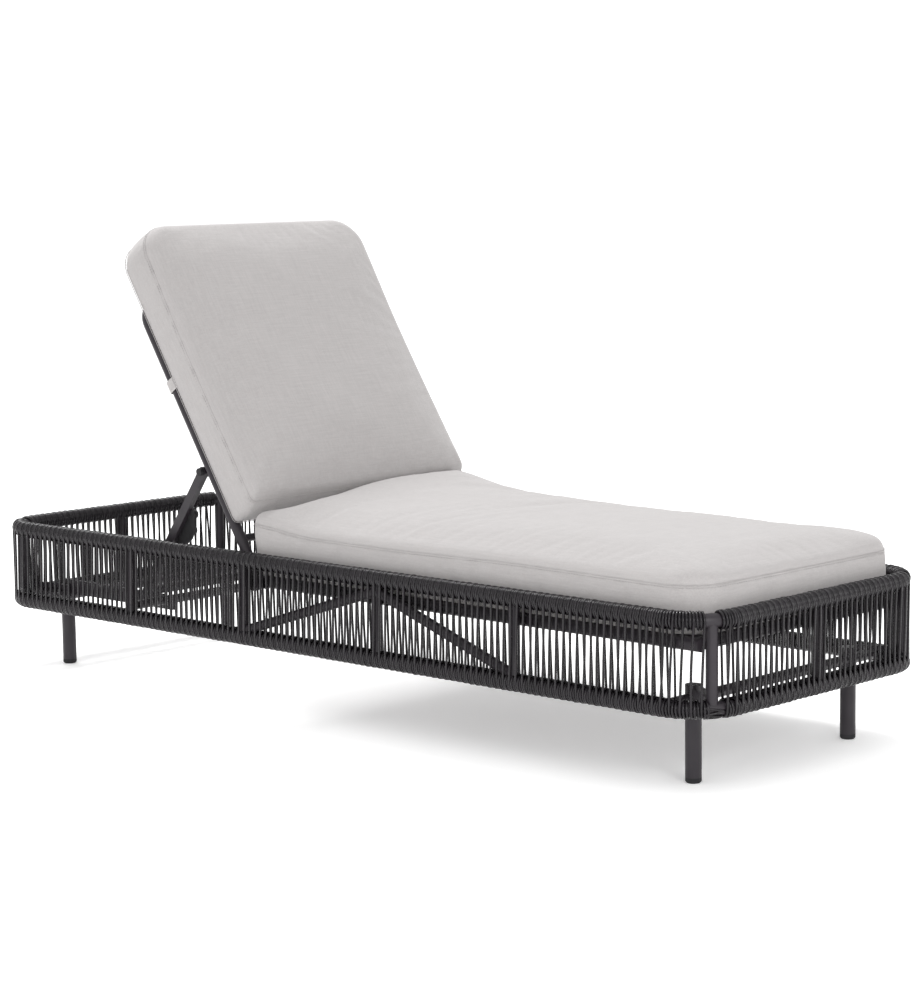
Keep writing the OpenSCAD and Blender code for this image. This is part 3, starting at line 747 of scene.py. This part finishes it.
def roll(depth, reach):
    """0 at the seam, 1 from reach inwards, steep at first like a stuffed edge."""
    t = 1 - np.clip(depth / reach, 0, 1)
    return np.sqrt(np.clip(1 - t * t, 0, 1))


def wrinkles(cushion, block, depth, h, folds, seed, uneven, pucker, rib, more=None):
    """How each point moves: folds and puckers on the lid, ribs on the boxing.

    uneven is (spacing of the broad noise, height of the fine noise), pucker and rib are
    (spacing, height), and more may add its own lift to the lid.
    """
    def varied(number, scale):
        return value_noise(x + 3, y + 3, seed + number, scale)

    x, y = block[:, 0], block[:, 1]
    lid = (h > 0.9) * smooth_step(depth / 0.02)
    lift = np.zeros(len(x))
    for ax, ay, bx, by, width, tall in folds:
        lift += ridge(x, y, ax, ay, bx, by, width) * tall * 0.001
    lift += 0.0009 * varied(3, uneven[0])
    lift += uneven[1] * varied(4, 0.035)
    edge = np.exp(-depth / 0.03) * smooth_step(depth / 0.004)
    run = np.where(np.abs(x) > 0.25, y, x)
    wave = np.sin(run * 2 * math.pi / pucker[0] + 3 * varied(5, 0.09))
    lift += edge * wave * pucker[1] * (0.5 + 0.5 * varied(6, 0.15))
    if more:
        lift += more(x, y, depth, varied)
    out = np.zeros_like(block)
    out[:, 2] = lift * lid
    wall = (h > 0.06) & (h < 0.94)
    wave = np.sin(run * 2 * math.pi / rib[0] + 4 * varied(8, 0.12))
    amount = wall * wave * rib[1] * (0.6 + 0.4 * varied(9, 0.2)) * np.exp(-depth / 0.012)
    g = cushion.outward(x, y)
    out[:, 0] += g[:, 0] * amount
    out[:, 1] += g[:, 1] * amount
    return out


SEAT_LO, SEAT_HI = box("seat_cushion")
SEAT_Z = SEAT_LO[2]
SEAT_REAR_LOW, SEAT_REAR_TOP = 0.186, SEAT_HI[1]    # the rear end leans back
SEAT_TALL = 0.124                                   # height at which it reaches its top
SEAT_HALF, SEAT_ROUND_FOOT, SEAT_ROUND_REAR = 0.3075, 0.072, 0.016
SEAT_VOXEL, SEAT_CAP = 0.009, 0.026
RING_TOP = 0.335                                    # below it the cushion stays narrower
# Folds as x, y of both ends, width and height in mm
SEAT_FOLDS = [
    (-0.29, 0.10, -0.05, 0.175, 0.016, 2.6), (-0.30, 0.03, -0.10, 0.14, 0.014, 1.8),
    (-0.30, -0.05, -0.16, 0.05, 0.015, 1.6), (-0.12, 0.165, 0.22, 0.10, 0.017, 2.0),
    (-0.30, -0.16, -0.19, -0.06, 0.014, 1.4), (0.02, 0.15, 0.29, 0.04, 0.018, 1.6),
    (-0.30, -0.30, -0.20, -0.20, 0.013, 1.1), (-0.29, -0.86, -0.18, -0.78, 0.016, 1.6),
    (-0.27, -0.92, -0.20, -0.80, 0.014, 1.6), (0.28, -0.90, 0.20, -0.80, 0.016, 1.6),
    (-0.30, -0.78, -0.20, -0.74, 0.014, 1.2), (0.30, -0.62, 0.20, -0.58, 0.014, 1.0)]


def seat_seam(y):
    """Height of the upper seam."""
    rear = smooth_step((y - 0.02) / 0.17)
    return 0.0865 + 0.012 * rear + 0.0015 * np.sin(y * 9)


def seat_crown(x, y, depth):
    """Height of the lid over the seam: a stuffed edge, and a rise towards the rear."""
    rear = smooth_step((y + 0.16) / 0.34) ** 1.6
    middle = smooth_step(depth / 0.16)
    far = smooth_step((x + 0.27) / 0.42)
    slope = smooth_step((y + 0.50) / 0.45) * (1 - 0.7 * smooth_step(y / 0.16))
    rise = (0.028 * rear + 0.012 * slope) * far * roll(depth, 0.045)
    return 0.0255 * roll(depth, 0.030) + 0.005 * middle + rise


def seat_skew(y, z):
    rear = smooth_step((y - 0.12) / 0.07)
    return y + rear * (SEAT_REAR_TOP - SEAT_REAR_LOW) * (z / SEAT_TALL - 1)


def seat_to_world(p):
    p = np.asarray(p, float)
    return p + np.array([0, 0, SEAT_Z])


def seat_limits(co):
    """Keeps the seat cushion off the frame round it, with its underside sunk into the deck."""
    x, y, z = co.T.copy()
    side = np.where(z + SEAT_Z < RING_TOP, 0.3128, 0.3165)
    x = np.clip(x, -side, side)
    y = np.clip(y, SEAT_LO[1] - 0.0005, None)
    lean = (SEAT_REAR_TOP - SEAT_REAR_LOW) * np.clip(z / SEAT_TALL, 0, 1.2)
    y = np.minimum(y, SEAT_REAR_LOW + lean + 0.0005)
    z = np.maximum(z - 0.0045 * np.clip(1 - z / 0.02, 0, 1), -0.0022)
    return np.stack([x, y, z], 1)


def seat_ripples(block, depth, h):
    return wrinkles(seat, block, depth, h, SEAT_FOLDS, 0, (0.12, 0.0005), (0.031, 0.0007),
                    (0.042, 0.0008))


BACK_Z = 0.0122                         # the back cushion's rear face above the hinge line
BACK_SHIFT = 0.005                      # how far its front stands to the far side
BACK_LOW, BACK_HIGH = 0.1265, 0.7838
BACK_HALF, BACK_ROUND_LOW, BACK_ROUND_HIGH = 0.3110, 0.012, 0.072
BACK_VOXEL, BACK_CAP = 0.0075, 0.024
BACK_LIMIT_X, BACK_LIMIT_HIGH, BACK_LIMIT_LOW = 0.3140, 0.7910, 0.1235
BACK_FOLDS = [
    (-0.30, 0.16, -0.22, 0.26, 0.014, 1.8), (-0.27, 0.15, -0.17, 0.22, 0.014, 1.5),
    (-0.12, 0.15, -0.05, 0.22, 0.015, 1.2), (0.05, 0.15, 0.12, 0.21, 0.014, 1.2),
    (0.20, 0.15, 0.27, 0.24, 0.014, 1.6), (-0.29, 0.70, -0.20, 0.66, 0.016, 1.2),
    (0.29, 0.70, 0.20, 0.65, 0.016, 1.2), (-0.30, 0.40, -0.24, 0.52, 0.016, 1.0)]


def back_seam(y):
    return 0.0795 + 0.0012 * np.sin(y * 11) + 0.0055 * smooth_step((y - 0.50) / 0.25)


def back_crown(x, y, depth):
    return 0.0245 * roll(depth, 0.028) + 0.006 * smooth_step(depth / 0.15)


def back_skew(y, z):
    low = smooth_step((0.22 - y) / 0.07)
    return y + low * 0.0150 * np.clip((z - 0.050) / 0.042, 0, 1)


def back_to_world(p):
    p = np.asarray(p, float)
    up = smooth_step((p[..., 2] - 0.055) / 0.025)
    p = p + np.array([0, 0, BACK_Z])
    p[..., 0] = p[..., 0] * (1 - 0.015 * (1 - up)) + BACK_SHIFT * up
    return on_backrest(p)


def back_limits(co):
    x, y, z = co.T.copy()
    x = np.clip(x, -BACK_LIMIT_X, BACK_LIMIT_X)
    low = BACK_LIMIT_LOW + 0.016 * np.clip((z - 0.050) / 0.042, 0, 1)
    y = np.clip(y, low, BACK_LIMIT_HIGH)
    z = np.maximum(z, 0.0004)
    return np.stack([x, y, z], 1)


def back_pleats(x, y, depth, varied):
    """Pleats along the lower edge, where the cushion stands on the seat."""
    pleats = np.sin(x * 2 * math.pi / 0.047 + 2.5 * varied(7, 0.1))
    return pleats * 0.0012 * smooth_step((0.21 - y) / 0.07) * smooth_step(depth / 0.012)


def back_ripples(block, depth, h):
    return wrinkles(back, block, depth, h, BACK_FOLDS, 10, (0.14, 0.0003), (0.033, 0.0003),
                    (0.05, 0.0007), back_pleats)


seat = Cushion("seat_cushion_sewn",
               (SEAT_HALF, SEAT_LO[1] + 0.006, SEAT_REAR_TOP - 0.004, SEAT_ROUND_FOOT,
                SEAT_ROUND_REAR),
               seat_seam, seat_crown, seat_skew, seat_to_world, SEAT_VOXEL,
               low_seam=0.0025, rest=-0.0016)
back = Cushion("back_cushion_sewn",
               (BACK_HALF, BACK_LOW, BACK_HIGH, BACK_ROUND_LOW, BACK_ROUND_HIGH),
               back_seam, back_crown, back_skew, back_to_world, BACK_VOXEL)
seat.stuff()
back.stuff()
SWELL_FRAMES = 20
for f in range(1, SWELL_FRAMES + 1):
    scene.frame_set(f)
seat_piece = seat.finish(seat_look, SEAT_CAP, seat_limits, seat_ripples)
back_piece = back.finish(back_look, BACK_CAP, back_limits, back_ripples)
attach(seat_piece, "root")
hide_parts("seat_cushion")
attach(back_piece, "back_pad")
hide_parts("back_cushion")
seat.seams(thread_look, "root")
back.seams(thread_look, "back_pad")


# ---------------------------------------------------------------- the strap round the backrest
STRAP_LOW, STRAP_HIGH = 0.447, 0.473                        # along the backrest
STRAP_HALF, STRAP_REAR, STRAP_FRONT = 0.29735, -0.01235, 0.020
STRAP_BEND, STRAP_HALF_THICK = 0.008, 0.00075


def strap():
    """The strap as a closed band round the rails, with its length and its width."""
    half, rear, r = STRAP_HALF, STRAP_REAR, STRAP_BEND
    path, normal = [], []
    for z in np.linspace(STRAP_FRONT, rear + r, 5):
        path.append((-half, z))
        normal.append((-1, 0))
    for a in np.radians(np.linspace(180, 270, 8))[1:]:
        path.append((-half + r + r * math.cos(a), rear + r + r * math.sin(a)))
        normal.append((math.cos(a), math.sin(a)))
    for x in np.linspace(-half + r, half - r, 60)[1:-1]:
        path.append((x, rear))
        normal.append((0, -1))
    for a in np.radians(np.linspace(270, 360, 8)):
        path.append((half - r + r * math.cos(a), rear + r + r * math.sin(a)))
        normal.append((math.cos(a), math.sin(a)))
    for z in np.linspace(rear + r, STRAP_FRONT, 5)[1:]:
        path.append((half, z))
        normal.append((1, 0))
    path, normal = np.array(path), np.array(normal, float)
    width = STRAP_HIGH - STRAP_LOW
    rows, across = len(path), 9
    verts, faces = [], []
    for side in (1, -1):
        for i in range(rows):
            for j in range(across):
                t = j / (across - 1) * 2 - 1
                thick = STRAP_HALF_THICK * (1 - 0.55 * t ** 8) * side
                d = (STRAP_LOW + STRAP_HIGH) / 2 + t * width / 2 + 0.0004 * math.sin(i * 0.9)
                out = path[i] + normal[i] * thick
                verts.append((out[0], d, out[1]))
    n = rows * across
    for i in range(rows - 1):
        for j in range(across - 1):
            a = i * across + j
            faces.append([a, a + 1, a + across + 1, a + across])
            faces.append([n + a, n + a + across, n + a + across + 1, n + a + 1])
    edges = []
    for i in range(rows - 1):
        here, after = i * across, (i + 1) * across
        edges += [(here, after), (after + across - 1, here + across - 1)]
    last = (rows - 1) * across
    for j in range(across - 1):
        edges += [(j + 1, j), (last + j, last + j + 1)]
    faces += [[a, b, n + b, n + a] for a, b in edges]
    piece = new_object("back_strap_woven", on_backrest(np.array(verts)), faces, strap_look)
    length = np.linalg.norm(np.diff(path, axis=0), axis=1).sum()
    return piece, length, width


strap_piece, strap_length, strap_width = strap()
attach(strap_piece, "back_pad")
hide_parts("back_strap")


# ---------------------------------------------------------------- floor, light and camera
FLOOR_GLOW = 0.22
WORLD_STRENGTH = 1.1


def plain(name, color):
    """A matt colour that glows a little, so that the floor stays near white."""
    mat = bpy.data.materials.new(name)
    mat.use_nodes = True
    shader = mat.node_tree.nodes["Principled BSDF"]
    shader.inputs["Base Color"].default_value = (*color, 1)
    shader.inputs["Roughness"].default_value = 0.9
    shader.inputs["Specular IOR Level"].default_value = 0.1
    shader.inputs["Emission Color"].default_value = (1, 1, 1, 1)
    shader.inputs["Emission Strength"].default_value = FLOOR_GLOW
    return mat


ground = new_object("studio_floor", [(-30, -30, 0), (30, -30, 0), (30, 30, 0), (-30, 30, 0)],
                    [[0, 1, 2, 3]], plain("studio_white", (0.97, 0.97, 0.97)), smooth=False)

scene.view_settings.view_transform = "Standard"
world = bpy.data.worlds.new("studio")
scene.world = world
world.use_nodes = True
world.node_tree.nodes["Background"].inputs["Color"].default_value = (1, 1, 1, 1)
world.node_tree.nodes["Background"].inputs["Strength"].default_value = WORLD_STRENGTH


def area_light(name, place, target, size, power):
    data = bpy.data.lights.new(name, "AREA")
    data.shape = "SQUARE"
    data.size = size
    data.energy = power
    obj = bpy.data.objects.new(name, data)
    obj.location = place
    obj.rotation_mode = "QUATERNION"
    obj.rotation_quaternion = (Vector(target) - Vector(place)).to_track_quat("-Z", "Y")
    scene.collection.objects.link(obj)


area_light("key_light", (0.8, 2.5, 4.1), (0, -0.3, 0.3), 1.5, 140)
area_light("low_light", (-4.4, -1.6, 1.1), (-0.3, -0.3, 0.25), 0.5, 9)
area_light("front_light", (-1.3, -3.0, 1.2), (0, -0.9, 0.3), 0.8, 18)

# The camera's fitted place in metres, its angles in degrees and its lens in mm
CAMERA_PLACE = (-3.8618, -3.7571, 1.1053)
CAMERA_YAW, CAMERA_DOWN, CAMERA_ROLL = 43.413, 7.340, -0.7204
SENSOR, LENS = 36, 95.32

yaw, down, tilt = (math.radians(a) for a in (CAMERA_YAW, CAMERA_DOWN, CAMERA_ROLL))
forward = Vector((math.cos(down) * math.cos(yaw), math.cos(down) * math.sin(yaw),
                  -math.sin(down)))
right = forward.cross(Vector((0, 0, 1))).normalized()
up = right.cross(forward)
right, up = (right * math.cos(tilt) + up * math.sin(tilt),
             up * math.cos(tilt) - right * math.sin(tilt))
turn = Matrix((right, up, -forward)).transposed()
camera_data = bpy.data.cameras.new("camera")
camera_data.sensor_width = SENSOR
camera_data.lens = LENS
camera = bpy.data.objects.new("camera", camera_data)
camera.matrix_world = Matrix.Translation(CAMERA_PLACE) @ turn.to_4x4()
scene.collection.objects.link(camera)
scene.camera = camera
